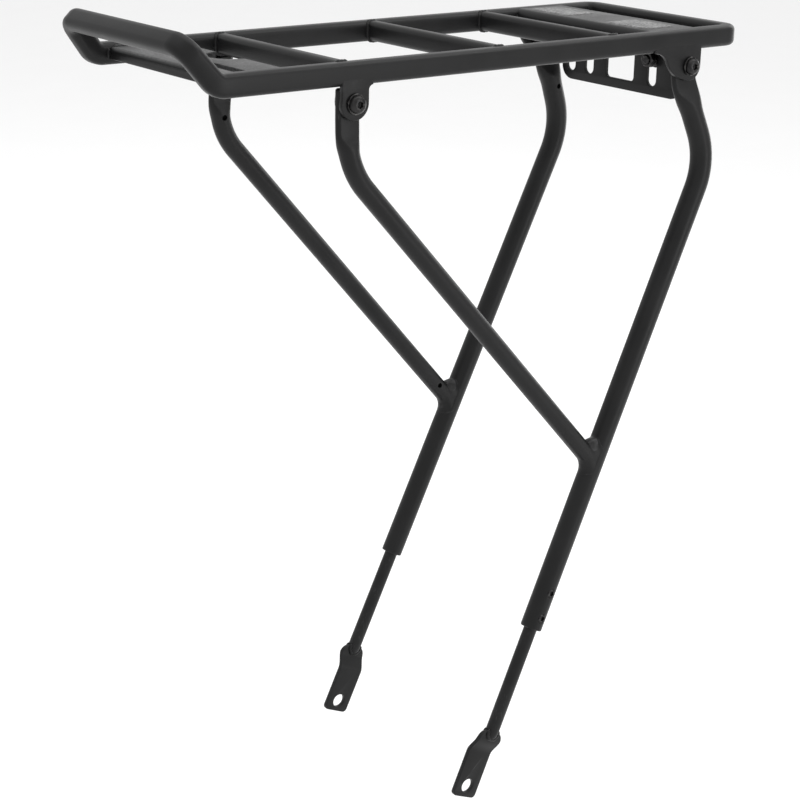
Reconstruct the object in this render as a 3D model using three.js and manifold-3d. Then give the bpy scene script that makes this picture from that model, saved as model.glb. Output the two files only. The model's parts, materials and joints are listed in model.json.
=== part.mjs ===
import * as THREE from 'three';
import { mergeVertices } from 'three/addons/utils/BufferGeometryUtils.js';
import { ConvexGeometry } from 'three/addons/geometries/ConvexGeometry.js';
import Module from 'manifold-3d';

// A rear rack for a bicycle, in millimetres: +X to the rear, +Y to the bicycle's right, +Z up.
// The origin is the centre of the underside of the front stay plate, on the slots' centre line.
// The welded pieces keep a small gap to each other where the weld runs.

const wasm = await Module();
wasm.setup();

// ---- Driving dimensions ---------------------------------------------------------------------

const GAP = 0.3;                                    // gap between pieces that touch or are welded

const PLATFORM_WIDTH = 120;                         // over the outer faces of the rails
const RAIL = { width: 9, height: 11, corner: 3 };
const RAIL_TOP = 5;
const REAR_FACE_X = 310.3;                          // rear face of the loop's end bar
const REAR_CORNER = 11;                             // outer radius of the two rear corners
const HOOP = { x: -19.8, slope: 51.7, length: 23.5, topWidth: 112.5, bend: 8, corner: 8.5 };

const CROSSBAR = { width: 8, height: 10.5, corner: 3, wall: 2 };
const CROSSBAR_X = { crossbar_front: 50.4, crossbar_middle: 145.2, crossbar_rear: 222 };

const STAY_PLATE = { front: -14.4, rear: 22.4, thickness: 3, flange: 5.8, notch: 12.5, bend: 2 };
const STAY_SLOT = { inner: 9, outer: 45, width: 6.4 };

const TOP_PLATE = { front: 245.4, rear: 282.8, top: 4.8, thickness: 2.5, depth: 9, bend: 4 };
const TOP_PAD = { front: 250, rear: 273, inner: 15, outer: 47, height: 0.5, corner: 4 };

const LIGHT_PLATE = { x: 278, thickness: 2, halfWidth: 47.5, bottom: -35.4, corner: 8 };
const LIGHT_WINDOW = { width: 22, top: -10, bottom: -30, corner: 2.5 };
const LIGHT_SLOT = { places: [-25, 25, 40], width: 7, top: -10, bottom: -30.5 };
const LIGHT_SCREW_Y = 25;
const LIGHT_SCREW_Z = -15.5;

const EAR = { thickness: 2.5, radius: 8 };
const BOLT_Z = -14.2;
const FRONT_BOLT_X = 52.6;
const REAR_BOLT_X = 271.4;
const REAR_EAR = { footX: 247, neck: 16.9, neckRise: 3.6, belly: 12.9, bellyDrop: 5.3 };

const LEG = { diameter: 12, bore: 8.1, slope: 0.4725, splay: 0.0173, bend: 38 };
const LEG_END = { x: 172.5, y: 63.5, z: -313 };      // centre of the leg tube's open lower end
const LEG_KNEE_Z = -66.3;
const LEG_BORE_DEPTH = 150;
const STRUT = { diameter: 10, bore: 6.4, bend: 38, jointZ: -225.5 };
const STRUT_KNEE = { x: 50.6, y: 57, z: -44.8 };
const FLAT = { thickness: 4, top: -7.1, bottom: -28, legWidth: 16.5, strutWidth: 13, corner: 1.2 };
const STRUT_FLAT_X = 51.4;                          // centre line of a strut's flat
const VENT_DIAMETER = 3;

const ROD = { diameter: 7.5, inside: 75, slotDepth: 4 };
const TAB = { top: -60.6, bottom: -101, hole: -94.5, holeDiameter: 8, width: 16.7, thickness: 2.6,
  shoulder: 6, corner: 2.5 };
const TAB_JOGGLE = { start: -65.5, end: -74, offset: 4 };

const SET_SCREW = { diameter: 4.9, offsets: [7.3, 21.9], socket: 2.5, inner: 4.05, outer: 5.9 };
const M5 = { shank: 4.9, head: 9.2, headHeight: 2.8, socket: 3, washer: 10, washerHeight: 1,
  nut: 8, nutHeight: 4 };
const SOCKET_DEPTH = 1.8;

// ---- Materials ------------------------------------------------------------------------------

function finish(color, roughness, metalness) {
  return new THREE.MeshStandardMaterial({ color, roughness, metalness });
}

const powderCoat = finish(0x262627, 0.55, 0.15);
const blackSteel = finish(0x1c1c1e, 0.4, 0.7);

// ---- Solids ---------------------------------------------------------------------------------

const X = new THREE.Vector3(1, 0, 0);
const Y = new THREE.Vector3(0, 1, 0);
const Z = new THREE.Vector3(0, 0, 1);

function toSolid(geometry) {
  const bare = geometry.clone();
  for (const name of Object.keys(bare.attributes)) {
    if (name !== 'position') bare.deleteAttribute(name);
  }
  const merged = mergeVertices(bare, 1e-4);
  return new wasm.Manifold(new wasm.Mesh({
    numProp: 3,
    vertProperties: Float32Array.from(merged.attributes.position.array),
    triVerts: Uint32Array.from(merged.index.array),
  }));
}

function toGeometry(solid) {
  const mesh = solid.getMesh();
  const geometry = new THREE.BufferGeometry();
  geometry.setAttribute('position', new THREE.BufferAttribute(mesh.vertProperties, 3));
  geometry.setIndex(new THREE.BufferAttribute(mesh.triVerts, 1));
  return geometry;
}

// Joins the first list of geometries and cuts the second list from the result. Only the largest
// body is kept, without the slivers that remain where curved faces cross.
function combine(added, cut = []) {
  let solid = toSolid(added[0]);
  for (const geometry of added.slice(1)) solid = solid.add(toSolid(geometry));
  for (const geometry of cut) solid = solid.subtract(toSolid(geometry));
  const bodies = solid.decompose().sort((a, b) => b.volume() - a.volume());
  return toGeometry(bodies[0]);
}

// ---- Outlines and extrusions ----------------------------------------------------------------

// A rectangle with rounded corners, given by its lower and upper limits.
function roundedRectangle(x0, y0, x1, y1, radius, shape = new THREE.Shape()) {
  shape.absarc(x1 - radius, y0 + radius, radius, -Math.PI / 2, 0);
  shape.absarc(x1 - radius, y1 - radius, radius, 0, Math.PI / 2);
  shape.absarc(x0 + radius, y1 - radius, radius, Math.PI / 2, Math.PI);
  shape.absarc(x0 + radius, y0 + radius, radius, Math.PI, 1.5 * Math.PI);
  shape.closePath();
  return shape;
}

function centredRectangle(width, height, radius) {
  return roundedRectangle(-width / 2, -height / 2, width / 2, height / 2, radius);
}

function circle(radius) {
  return new THREE.Shape().absarc(0, 0, radius, 0, 2 * Math.PI);
}

function hexagon(acrossFlats) {
  const corners = [];
  for (let i = 0; i < 6; i += 1) {
    const angle = (i + 0.5) * Math.PI / 3;
    const radius = acrossFlats / Math.sqrt(3);
    corners.push(new THREE.Vector2(radius * Math.cos(angle), radius * Math.sin(angle)));
  }
  return new THREE.Shape(corners);
}

function extrude(shape, depth, curveSegments) {
  return new THREE.ExtrudeGeometry(shape, { depth, bevelEnabled: false, curveSegments });
}

// An outline drawn in X and Y, filled from z0 to z1.
function fillAlongZ(shape, z0, z1, curveSegments = 4) {
  return extrude(shape, z1 - z0, curveSegments).translate(0, 0, z0);
}

// An outline drawn in X and Z, filled from y0 to y1.
function fillAlongY(shape, y0, y1, curveSegments = 4) {
  return extrude(shape, y1 - y0, curveSegments).rotateX(Math.PI / 2).translate(0, y1, 0);
}

// An outline drawn in Y and Z, filled from x0 to x1.
function fillAlongX(shape, x0, x1, curveSegments = 4) {
  const turn = new THREE.Matrix4().makeBasis(Y, Z, X);
  return extrude(shape, x1 - x0, curveSegments).applyMatrix4(turn).translate(x0, 0, 0);
}

function cylinder(diameter, length, sides = 16) {
  return new THREE.CylinderGeometry(diameter / 2, diameter / 2, length, sides);
}

// A path of straight runs with a round bend at each inner corner. It gives a step to the ends of
// each straight run and to each few degrees of a bend, and none inside a straight run.
class BentPath extends THREE.Curve {
  constructor(corners, bend, degreesPerStep = 15) {
    super();
    this.points = [];
    this.tangents = [];
    const last = corners.length - 1;
    const heading = (i) => corners[i + 1].clone().sub(corners[i]).normalize();
    this.step(corners[0], heading(0));
    for (let i = 1; i < last; i += 1) {
      const radius = Array.isArray(bend) ? bend[i - 1] : bend;
      this.turn(corners[i], heading(i - 1), heading(i), radius, degreesPerStep);
    }
    this.step(corners[last], heading(last - 1));
  }

  step(point, tangent) {
    this.points.push(point.clone());
    this.tangents.push(tangent.clone());
  }

  turn(corner, before, after, radius, degreesPerStep) {
    const angle = before.angleTo(after);
    const inward = after.clone().addScaledVector(before, -after.dot(before)).normalize();
    const start = corner.clone().addScaledVector(before, -radius * Math.tan(angle / 2));
    const centre = start.clone().addScaledVector(inward, radius);
    const count = Math.ceil(THREE.MathUtils.radToDeg(angle) / degreesPerStep);
    for (let i = 0; i <= count; i += 1) {
      const swept = angle * i / count;
      const point = centre.clone()
        .addScaledVector(inward, -radius * Math.cos(swept))
        .addScaledVector(before, radius * Math.sin(swept));
      const tangent = before.clone().multiplyScalar(Math.cos(swept))
        .addScaledVector(inward, Math.sin(swept));
      this.step(point, tangent);
    }
  }

  getPointAt(u, target = new THREE.Vector3()) {
    return target.copy(this.points[Math.round(u * (this.points.length - 1))]);
  }

  getTangentAt(u, target = new THREE.Vector3()) {
    return target.copy(this.tangents[Math.round(u * (this.tangents.length - 1))]);
  }

  getPoint(u, target) {
    return this.getPointAt(u, target);
  }
}

function sweep(shape, path, curveSegments = 4) {
  return new THREE.ExtrudeGeometry(shape, {
    steps: path.points.length - 1,
    extrudePath: path,
    curveSegments,
  });
}

// ---- The rack -------------------------------------------------------------------------------

const rack = new THREE.Group();

function piece(name, geometry, material = powderCoat, parent = rack) {
  const mesh = new THREE.Mesh(geometry, material);
  mesh.name = name;
  parent.add(mesh);
  return mesh;
}

const sides = [
  { name: 'left', sign: -1 },
  { name: 'right', sign: 1 },
];

const railAxisY = (PLATFORM_WIDTH - RAIL.width) / 2;
const railAxisZ = RAIL_TOP - RAIL.height / 2;
const railInnerY = PLATFORM_WIDTH / 2 - RAIL.width;

// One half of the platform loop's tube, from the middle of the end bar to the middle of the hoop.
// The section may be grown all round, to cut clearance into a neighbour.
function loopHalf(sign, grown) {
  const slope = THREE.MathUtils.degToRad(HOOP.slope);
  const rearX = REAR_FACE_X - RAIL.width / 2;
  const hoopX = HOOP.x - HOOP.length * Math.cos(slope);
  const hoopZ = railAxisZ + HOOP.length * Math.sin(slope);
  const hoopY = (HOOP.topWidth - RAIL.width) / 2;
  const overlap = 0.5;
  const path = new BentPath([
    new THREE.Vector3(rearX, -sign * overlap, railAxisZ),
    new THREE.Vector3(rearX, sign * railAxisY, railAxisZ),
    new THREE.Vector3(HOOP.x, sign * railAxisY, railAxisZ),
    new THREE.Vector3(hoopX, sign * hoopY, hoopZ),
    new THREE.Vector3(hoopX, -sign * overlap, hoopZ),
  ], [REAR_CORNER - RAIL.width / 2, HOOP.bend, HOOP.corner]);
  const section = centredRectangle(
    RAIL.height + 2 * grown, RAIL.width + 2 * grown, RAIL.corner + grown);
  return sweep(section, path, 2);
}

function loopParts(grown) {
  return sides.map((side) => loopHalf(side.sign, grown));
}

const loopClearance = loopParts(GAP);

piece('platform_loop', combine(loopParts(0)));

// Crossbars: short tubes coped to the inner faces of the rails.
function crossbar(x) {
  const zMiddle = RAIL_TOP - CROSSBAR.height / 2;
  const reach = railInnerY + RAIL.width / 3;
  const { width, height, corner, wall } = CROSSBAR;
  const outside = fillAlongY(centredRectangle(width, height, corner), -reach, reach, 2);
  const bore = centredRectangle(width - 2 * wall, height - 2 * wall, corner - wall);
  const inside = fillAlongY(bore, -reach - 1, reach + 1, 2);
  const copes = loopClearance.map((half) => half.clone().translate(-x, 0, -zMiddle));
  return combine([outside], [inside, ...copes]).translate(x, 0, zMiddle);
}

for (const [name, x] of Object.entries(CROSSBAR_X)) piece(name, crossbar(x));

// Front stay plate: bent down along its front edge, with a slot on each side for the struts that
// run to the seat stays, and a round notch in the middle of its rear edge.
function stayPlate() {
  const { front, rear, thickness, flange, notch, bend } = STAY_PLATE;
  const reach = railInnerY + 2;
  const profile = new THREE.Shape();
  profile.moveTo(rear, 0);
  profile.lineTo(rear, thickness - 1);
  profile.absarc(rear - 1, thickness - 1, 1, 0, Math.PI / 2);
  profile.absarc(front + bend, thickness - bend, bend, Math.PI / 2, Math.PI);
  profile.lineTo(front, thickness - flange);
  profile.lineTo(front + thickness, thickness - flange);
  profile.lineTo(front + thickness, 0);
  const sheet = fillAlongY(profile, -reach, reach, 2);
  const cuts = [cylinder(2 * notch, 20, 32).rotateX(Math.PI / 2).translate(rear, 0, 0)];
  for (const { sign } of sides) {
    const from = Math.min(sign * STAY_SLOT.inner, sign * STAY_SLOT.outer);
    const to = Math.max(sign * STAY_SLOT.inner, sign * STAY_SLOT.outer);
    const halfWidth = STAY_SLOT.width / 2;
    const slot = roundedRectangle(-halfWidth, from, halfWidth, to, halfWidth);
    cuts.push(fillAlongZ(slot, -1, thickness + 1, 3));
  }
  return combine([sheet], [...cuts, ...loopClearance]);
}

piece('front_stay_plate', stayPlate());

// Rear top plate: a pressed sheet with its front and rear edges turned down, and two raised pads.
function topPlate() {
  const { front, rear, top, thickness, depth, bend } = TOP_PLATE;
  const reach = railInnerY + RAIL.width / 3;
  const profile = new THREE.Shape();
  profile.moveTo(front, top - depth);
  profile.lineTo(front + thickness, top - depth);
  profile.absarc(front + bend, top - bend, bend - thickness, Math.PI, Math.PI / 2, true);
  profile.absarc(rear - bend, top - bend, bend - thickness, Math.PI / 2, 0, true);
  profile.lineTo(rear - thickness, top - depth);
  profile.lineTo(rear, top - depth);
  profile.absarc(rear - bend, top - bend, bend, 0, Math.PI / 2);
  profile.absarc(front + bend, top - bend, bend, Math.PI / 2, Math.PI);
  const parts = [fillAlongY(profile, -reach, reach, 3)];
  for (const { sign } of sides) {
    const from = Math.min(sign * TOP_PAD.inner, sign * TOP_PAD.outer);
    const to = Math.max(sign * TOP_PAD.inner, sign * TOP_PAD.outer);
    const pad = roundedRectangle(TOP_PAD.front, from, TOP_PAD.rear, to, TOP_PAD.corner);
    parts.push(fillAlongZ(pad, top - 1, top + TOP_PAD.height, 3));
  }
  return combine(parts, loopClearance);
}

piece('rear_top_plate', topPlate());

// Light plate: hangs from the rear flange of the top plate, with upright slots for a rear light or a
// reflector: one on the left and two on the right.
function lightPlate() {
  const { x, thickness, halfWidth, bottom, corner } = LIGHT_PLATE;
  const top = TOP_PLATE.top - TOP_PLATE.bend;
  const outline = new THREE.Shape();
  outline.moveTo(halfWidth, top);
  outline.lineTo(-halfWidth, top);
  outline.absarc(-halfWidth + corner, bottom + corner, corner, Math.PI, 1.5 * Math.PI);
  outline.absarc(halfWidth - corner, bottom + corner, corner, -Math.PI / 2, 0);
  outline.closePath();
  const { width, corner: windowCorner } = LIGHT_WINDOW;
  outline.holes.push(roundedRectangle(
    -width / 2, LIGHT_WINDOW.bottom, width / 2, LIGHT_WINDOW.top, windowCorner, new THREE.Path()));
  for (const y of LIGHT_SLOT.places) {
    const half = LIGHT_SLOT.width / 2;
    outline.holes.push(roundedRectangle(
      y - half, LIGHT_SLOT.bottom, y + half, LIGHT_SLOT.top, half, new THREE.Path()));
  }
  return fillAlongX(outline, x, x + thickness, 3);
}

piece('light_plate', lightPlate());

// Ears: plates under the rails, flush with the rails' outer faces. The flattened top of a leg or a
// strut is bolted to the inner face of each ear.
const earInnerY = PLATFORM_WIDTH / 2 - EAR.thickness;
const flatOuterY = earInnerY - GAP;
const flatInnerY = flatOuterY - FLAT.thickness;
const flatAxisY = (flatOuterY + flatInnerY) / 2;

function earOutline(boltX, footX) {
  const { radius } = EAR;
  const shape = new THREE.Shape();
  const topZ = railAxisZ;
  const left = boltX - radius;
  if (footX === undefined) {
    shape.moveTo(left, topZ);
    shape.absarc(boltX, BOLT_Z, radius, Math.PI, 2 * Math.PI);
  } else {
    const { neck, neckRise, belly, bellyDrop } = REAR_EAR;
    const toe = 1.32 * Math.PI;
    shape.moveTo(footX, topZ);
    shape.lineTo(footX, RAIL_TOP - RAIL.height);
    shape.lineTo(boltX - neck, BOLT_Z + neckRise);
    shape.quadraticCurveTo(boltX - belly, BOLT_Z - bellyDrop,
      boltX + radius * Math.cos(toe), BOLT_Z + radius * Math.sin(toe));
    shape.absarc(boltX, BOLT_Z, radius, toe, 2 * Math.PI);
  }
  shape.lineTo(boltX + radius, topZ);
  shape.closePath();
  return shape;
}

function ear(sign, boltX, footX) {
  const from = Math.min(sign * earInnerY, sign * PLATFORM_WIDTH / 2);
  const plate = fillAlongY(earOutline(boltX, footX), from, from + EAR.thickness, 5);
  const hole = cylinder(M5.shank + 2 * GAP, 2 * EAR.thickness + 4)
    .translate(boltX, from + EAR.thickness / 2, BOLT_Z);
  const above = new THREE.BoxGeometry(80, 20, 20)
    .translate(boltX - 20, sign * railAxisY, railAxisZ + 10);
  return combine([plate], [hole, above, ...loopClearance]);
}

for (const { name, sign } of sides) {
  piece(`${name}_front_ear`, ear(sign, FRONT_BOLT_X));
  piece(`${name}_rear_ear`, ear(sign, REAR_BOLT_X, REAR_EAR.footX));
}

// ---- Legs and struts ------------------------------------------------------------------------

// A point on the axis of the leg's long straight run, at height z.
function onLeg(sign, z) {
  const down = LEG_END.z - z;
  return new THREE.Vector3(
    LEG_END.x - LEG.slope * down, sign * (LEG_END.y + LEG.splay * down), z);
}

// The pressed flat of a tube's upper end, standing against the ear.
function pressedFlat(sign, x, width) {
  const outline = roundedRectangle(
    x - width / 2, FLAT.bottom, x + width / 2, FLAT.top, FLAT.corner);
  const from = sign > 0 ? flatInnerY : -flatOuterY;
  return fillAlongY(outline, from, from + FLAT.thickness, 2);
}

// The tapered stretch between the pressed flat and the round tube.
function pressedTaper(sign, x, width, centre, direction, radius) {
  const points = [];
  for (const edge of [-1, 1]) {
    for (const face of [flatInnerY, flatOuterY]) {
      points.push(new THREE.Vector3(x + edge * (width / 2 - 0.5), sign * face, FLAT.bottom + 5));
    }
  }
  const across = new THREE.Vector3().crossVectors(direction, Y).normalize();
  const outward = new THREE.Vector3().crossVectors(across, direction).normalize();
  for (let i = 0; i < 16; i += 1) {
    const angle = i * Math.PI / 8;
    points.push(centre.clone()
      .addScaledVector(across, radius * Math.cos(angle))
      .addScaledVector(outward, radius * Math.sin(angle)));
  }
  return new ConvexGeometry(points);
}

function drill(diameter, length, middle, axis) {
  const turn = new THREE.Quaternion().setFromUnitVectors(Y, axis);
  return cylinder(diameter, length).applyQuaternion(turn).translate(...middle.toArray());
}

function boltHole(sign, x) {
  return drill(M5.shank + 2 * GAP, 3 * FLAT.thickness,
    new THREE.Vector3(x, sign * flatAxisY, BOLT_Z), Y);
}

function vent(sign, middle) {
  return drill(VENT_DIAMETER, 8, middle.clone().addScaledVector(Y, -4 * sign), Y);
}

// Corners of the tubes' axes. The first lies at the lower end of the pressed flat.
function legCorners(sign) {
  return [
    new THREE.Vector3(REAR_BOLT_X, sign * flatAxisY, FLAT.bottom + 8),
    onLeg(sign, LEG_KNEE_Z).setY(sign * (LEG_END.y + LEG.splay * (LEG_END.z - LEG_KNEE_Z))),
    onLeg(sign, LEG_END.z),
  ];
}

function strutCorners(sign) {
  return [
    new THREE.Vector3(STRUT_FLAT_X, sign * flatAxisY, FLAT.bottom + 4),
    new THREE.Vector3(STRUT_KNEE.x, sign * STRUT_KNEE.y, STRUT_KNEE.z),
    onLeg(sign, STRUT.jointZ),
  ];
}

// A path's point and heading at a distance past its first corner, before the bend starts.
function along(corners, distance) {
  const direction = corners[1].clone().sub(corners[0]).normalize();
  return { direction, point: corners[0].clone().addScaledVector(direction, distance) };
}

function tubeBody(sign, corners, bend, diameter, flatX, flatWidth, taper) {
  const { direction, point } = along(corners, taper);
  const path = new BentPath([point, ...corners.slice(1)], bend, 8);
  const tube = sweep(circle(diameter / 2), path, 10);
  return [
    tube,
    pressedFlat(sign, flatX, flatWidth),
    pressedTaper(sign, flatX, flatWidth, point.clone().addScaledVector(direction, 0.5),
      direction, diameter / 2 - 0.02),
  ];
}

function legDirection(sign) {
  return onLeg(sign, 0).sub(onLeg(sign, LEG_END.z)).normalize();
}

function setScrewPlace(sign, offset) {
  return onLeg(sign, LEG_END.z).addScaledVector(legDirection(sign), offset);
}

function leg(sign) {
  const corners = legCorners(sign);
  const up = legDirection(sign);
  const body = tubeBody(sign, corners, LEG.bend, LEG.diameter, REAR_BOLT_X, FLAT.legWidth, 12);
  const bore = drill(LEG.bore, LEG_BORE_DEPTH + 10,
    corners[2].clone().addScaledVector(up, LEG_BORE_DEPTH / 2 - 5), up);
  const screwHoles = SET_SCREW.offsets.map((offset) => drill(
    SET_SCREW.diameter + 2 * GAP, 6,
    setScrewPlace(sign, offset).addScaledVector(Y, sign * 5), Y));
  const ventPlace = corners[0].clone().setZ(-41.5).setX(REAR_BOLT_X + 8);
  return combine(body, [bore, boltHole(sign, REAR_BOLT_X), vent(sign, ventPlace), ...screwHoles]);
}

function strut(sign) {
  const corners = strutCorners(sign);
  const run = corners[2].clone().sub(corners[1]);
  const length = run.length();
  run.normalize();
  const body = tubeBody(sign, corners, STRUT.bend, STRUT.diameter, STRUT_FLAT_X,
    FLAT.strutWidth, 6);
  const bore = drill(STRUT.bore, length - 20,
    corners[1].clone().addScaledVector(run, length / 2 + 10), run);
  const up = legDirection(sign);
  const legEnvelope = drill(LEG.diameter + 2 * GAP, 120, corners[2], up);
  const vents = [
    vent(sign, new THREE.Vector3(STRUT_FLAT_X, sign * flatAxisY, -38)),
    vent(sign, corners[1].clone().addScaledVector(run, length - 19)),
  ];
  return combine(body, [bore, boltHole(sign, FRONT_BOLT_X), legEnvelope, ...vents]);
}

for (const { name, sign } of sides) {
  piece(`${name}_leg_tube`, leg(sign));
  piece(`${name}_front_strut`, strut(sign));
}

// ---- Sliding feet ---------------------------------------------------------------------------

// The rod slides in the leg tube. Its frame has its origin at the tube's open end, with local Z up
// the leg. A slot across its lower end holds the tab.
function rod() {
  const bottom = TAB.top - ROD.slotDepth;
  const length = ROD.inside - bottom;
  const bar = cylinder(ROD.diameter, length, 20).rotateX(Math.PI / 2)
    .translate(0, 0, bottom + length / 2);
  const slot = new THREE.BoxGeometry(20, TAB.thickness + 2 * GAP, 2 * (ROD.slotDepth + GAP))
    .translate(0, 0, bottom);
  return combine([bar], [slot]);
}

// The tab steps inward below the rod, towards the bicycle, and has one hole for the frame's eyelet.
function tab(sign) {
  const half = TAB.thickness / 2;
  const inward = -sign * TAB_JOGGLE.offset;
  const lean = half * Math.tan(Math.atan2(TAB_JOGGLE.offset,
    TAB_JOGGLE.start - TAB_JOGGLE.end) / 2) * -sign;
  const profile = new THREE.Shape();
  profile.moveTo(half, TAB.top);
  profile.lineTo(-half, TAB.top);
  profile.lineTo(-half, TAB_JOGGLE.start + lean);
  profile.lineTo(inward - half, TAB_JOGGLE.end + lean);
  profile.lineTo(inward - half, TAB.bottom);
  profile.lineTo(inward + half, TAB.bottom);
  profile.lineTo(inward + half, TAB_JOGGLE.end - lean);
  profile.lineTo(half, TAB_JOGGLE.start - lean);
  profile.closePath();
  const strip = fillAlongX(profile, -TAB.width / 2, TAB.width / 2, 1);
  const { width, top, bottom, shoulder, corner } = TAB;
  const outline = new THREE.Shape();
  outline.absarc(width / 2 - corner, bottom + corner, corner, -Math.PI / 2, 0);
  outline.absarc(width / 2 - shoulder, top - shoulder, shoulder, 0, Math.PI / 2);
  outline.absarc(shoulder - width / 2, top - shoulder, shoulder, Math.PI / 2, Math.PI);
  outline.absarc(corner - width / 2, bottom + corner, corner, Math.PI, 1.5 * Math.PI);
  outline.closePath();
  const trim = combine(
    [new THREE.BoxGeometry(40, 40, 80).translate(0, 0, (top + bottom) / 2)],
    [fillAlongY(outline, -25, 25, 4)]);
  const hole = cylinder(TAB.holeDiameter, 20, 24).translate(0, inward, TAB.hole);
  return combine([strip], [trim, hole]);
}

// Set screw: lies across the leg, in the tube's outer wall.
function setScrew(sign) {
  const length = SET_SCREW.outer - SET_SCREW.inner;
  const screw = cylinder(SET_SCREW.diameter, length, 16);
  const socket = fillAlongY(hexagon(SET_SCREW.socket), length / 2 - 1.2, length / 2 + 1, 1);
  return combine([screw], [socket]).rotateX(sign > 0 ? 0 : Math.PI);
}

for (const { name, sign } of sides) {
  const foot = new THREE.Group();
  foot.position.copy(onLeg(sign, LEG_END.z));
  foot.quaternion.setFromUnitVectors(Z, legDirection(sign));
  rack.add(foot);
  piece(`${name}_foot_rod`, rod(), powderCoat, foot);
  piece(`${name}_foot_tab`, tab(sign), powderCoat, foot);
  SET_SCREW.offsets.forEach((offset, i) => {
    const screw = piece(`${name}_set_screw_${i + 1}`, setScrew(sign), blackSteel);
    const middle = (SET_SCREW.inner + SET_SCREW.outer) / 2;
    screw.position.copy(setScrewPlace(sign, offset)).addScaledVector(Y, sign * middle);
  });
}

// ---- Fasteners ------------------------------------------------------------------------------

// Each fastener is turned about its own Y axis, head towards +Y, with the clamped stack's outer
// face at y = 0.
function buttonScrew(stack) {
  const underHead = M5.washerHeight + 2 * GAP;
  const profile = [
    new THREE.Vector2(0, underHead + M5.headHeight),
    new THREE.Vector2(M5.head * 0.3, underHead + M5.headHeight),
    new THREE.Vector2(M5.head * 0.44, underHead + M5.headHeight * 0.62),
    new THREE.Vector2(M5.head * 0.5, underHead + M5.headHeight * 0.2),
    new THREE.Vector2(M5.head * 0.5, underHead),
    new THREE.Vector2(M5.shank / 2, underHead),
    new THREE.Vector2(M5.shank / 2, -stack + 0.5),
    new THREE.Vector2(M5.shank / 2 - 0.5, -stack),
    new THREE.Vector2(0, -stack),
  ].reverse();
  const screw = new THREE.LatheGeometry(profile, 20);
  const socket = fillAlongY(hexagon(M5.socket),
    underHead + M5.headHeight - SOCKET_DEPTH, underHead + M5.headHeight + 1, 1);
  return combine([screw], [socket]);
}

// An outline with the shank's hole through it.
function ring(outline, y0, y1) {
  return combine([fillAlongY(outline, y0, y1, 10)],
    [cylinder(M5.shank + 2 * GAP, 20).translate(0, (y0 + y1) / 2, 0)]);
}

function washer() {
  return ring(circle(M5.washer / 2), GAP, GAP + M5.washerHeight);
}

function nut(stack) {
  return ring(hexagon(M5.nut), -stack - M5.nutHeight, -stack);
}

const earStack = PLATFORM_WIDTH / 2 - flatInnerY;
const boltPlaces = { front: FRONT_BOLT_X, rear: REAR_BOLT_X };

for (const { name, sign } of sides) {
  for (const [end, x] of Object.entries(boltPlaces)) {
    const place = new THREE.Group();
    place.position.set(x, sign * PLATFORM_WIDTH / 2, BOLT_Z);
    place.rotation.z = sign > 0 ? 0 : Math.PI;
    rack.add(place);
    piece(`${name}_${end}_bolt`, buttonScrew(earStack + GAP + M5.nutHeight + 1), blackSteel, place);
    piece(`${name}_${end}_washer`, washer(), blackSteel, place);
    piece(`${name}_${end}_nut`, nut(earStack + GAP), blackSteel, place);
  }
  const place = new THREE.Group();
  place.position.set(LIGHT_PLATE.x + LIGHT_PLATE.thickness, sign * LIGHT_SCREW_Y, LIGHT_SCREW_Z);
  place.rotation.z = -Math.PI / 2;
  rack.add(place);
  piece(`${name}_light_screw`, buttonScrew(LIGHT_PLATE.thickness + GAP + M5.nutHeight + 1),
    blackSteel, place);
  piece(`${name}_light_washer`, washer(), blackSteel, place);
  piece(`${name}_light_nut`, nut(LIGHT_PLATE.thickness + GAP), blackSteel, place);
}

export default rack;
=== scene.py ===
"""A bicycle's rear rack in black powder coat. All lengths here are millimetres: a mesh is scaled to
metres when its piece is made."""

import json
from math import ceil, cos, pi, radians, sin, sqrt, tan

import bmesh
import bpy
from mathutils import Matrix, Vector, noise


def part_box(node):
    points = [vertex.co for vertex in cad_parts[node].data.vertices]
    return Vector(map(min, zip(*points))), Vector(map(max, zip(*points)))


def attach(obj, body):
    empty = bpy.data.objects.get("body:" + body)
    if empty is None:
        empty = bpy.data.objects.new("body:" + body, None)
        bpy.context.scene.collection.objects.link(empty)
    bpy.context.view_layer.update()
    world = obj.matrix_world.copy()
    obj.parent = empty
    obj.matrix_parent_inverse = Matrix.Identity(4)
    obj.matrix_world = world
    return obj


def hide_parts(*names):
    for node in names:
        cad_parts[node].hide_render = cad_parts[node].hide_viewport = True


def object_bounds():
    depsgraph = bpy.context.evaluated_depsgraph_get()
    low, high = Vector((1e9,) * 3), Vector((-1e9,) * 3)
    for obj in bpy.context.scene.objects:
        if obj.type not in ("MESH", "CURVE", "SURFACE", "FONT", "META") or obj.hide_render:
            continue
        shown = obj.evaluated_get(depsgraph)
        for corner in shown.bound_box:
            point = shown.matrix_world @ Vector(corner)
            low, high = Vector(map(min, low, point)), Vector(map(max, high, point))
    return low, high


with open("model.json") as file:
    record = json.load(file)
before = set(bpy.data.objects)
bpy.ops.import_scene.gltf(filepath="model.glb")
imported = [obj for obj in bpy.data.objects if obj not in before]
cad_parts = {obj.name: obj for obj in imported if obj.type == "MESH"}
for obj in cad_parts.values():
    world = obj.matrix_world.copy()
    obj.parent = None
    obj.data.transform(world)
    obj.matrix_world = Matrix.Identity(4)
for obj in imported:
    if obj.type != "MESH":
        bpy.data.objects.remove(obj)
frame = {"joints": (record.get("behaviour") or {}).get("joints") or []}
size_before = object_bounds()

MM = 0.001
X, Y, Z = Vector((1, 0, 0)), Vector((0, 1, 0)), Vector((0, 0, 1))
SIDES = {"left": -1, "right": 1}


def box(node):
    """The lowest and the highest corner of a CAD node, in millimetres."""
    low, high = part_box(node)
    return low / MM, high / MM


def middle(node):
    low, high = box(node)
    return (low + high) / 2


# ---- Driving dimensions -------------------------------------------------------------------------

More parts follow.
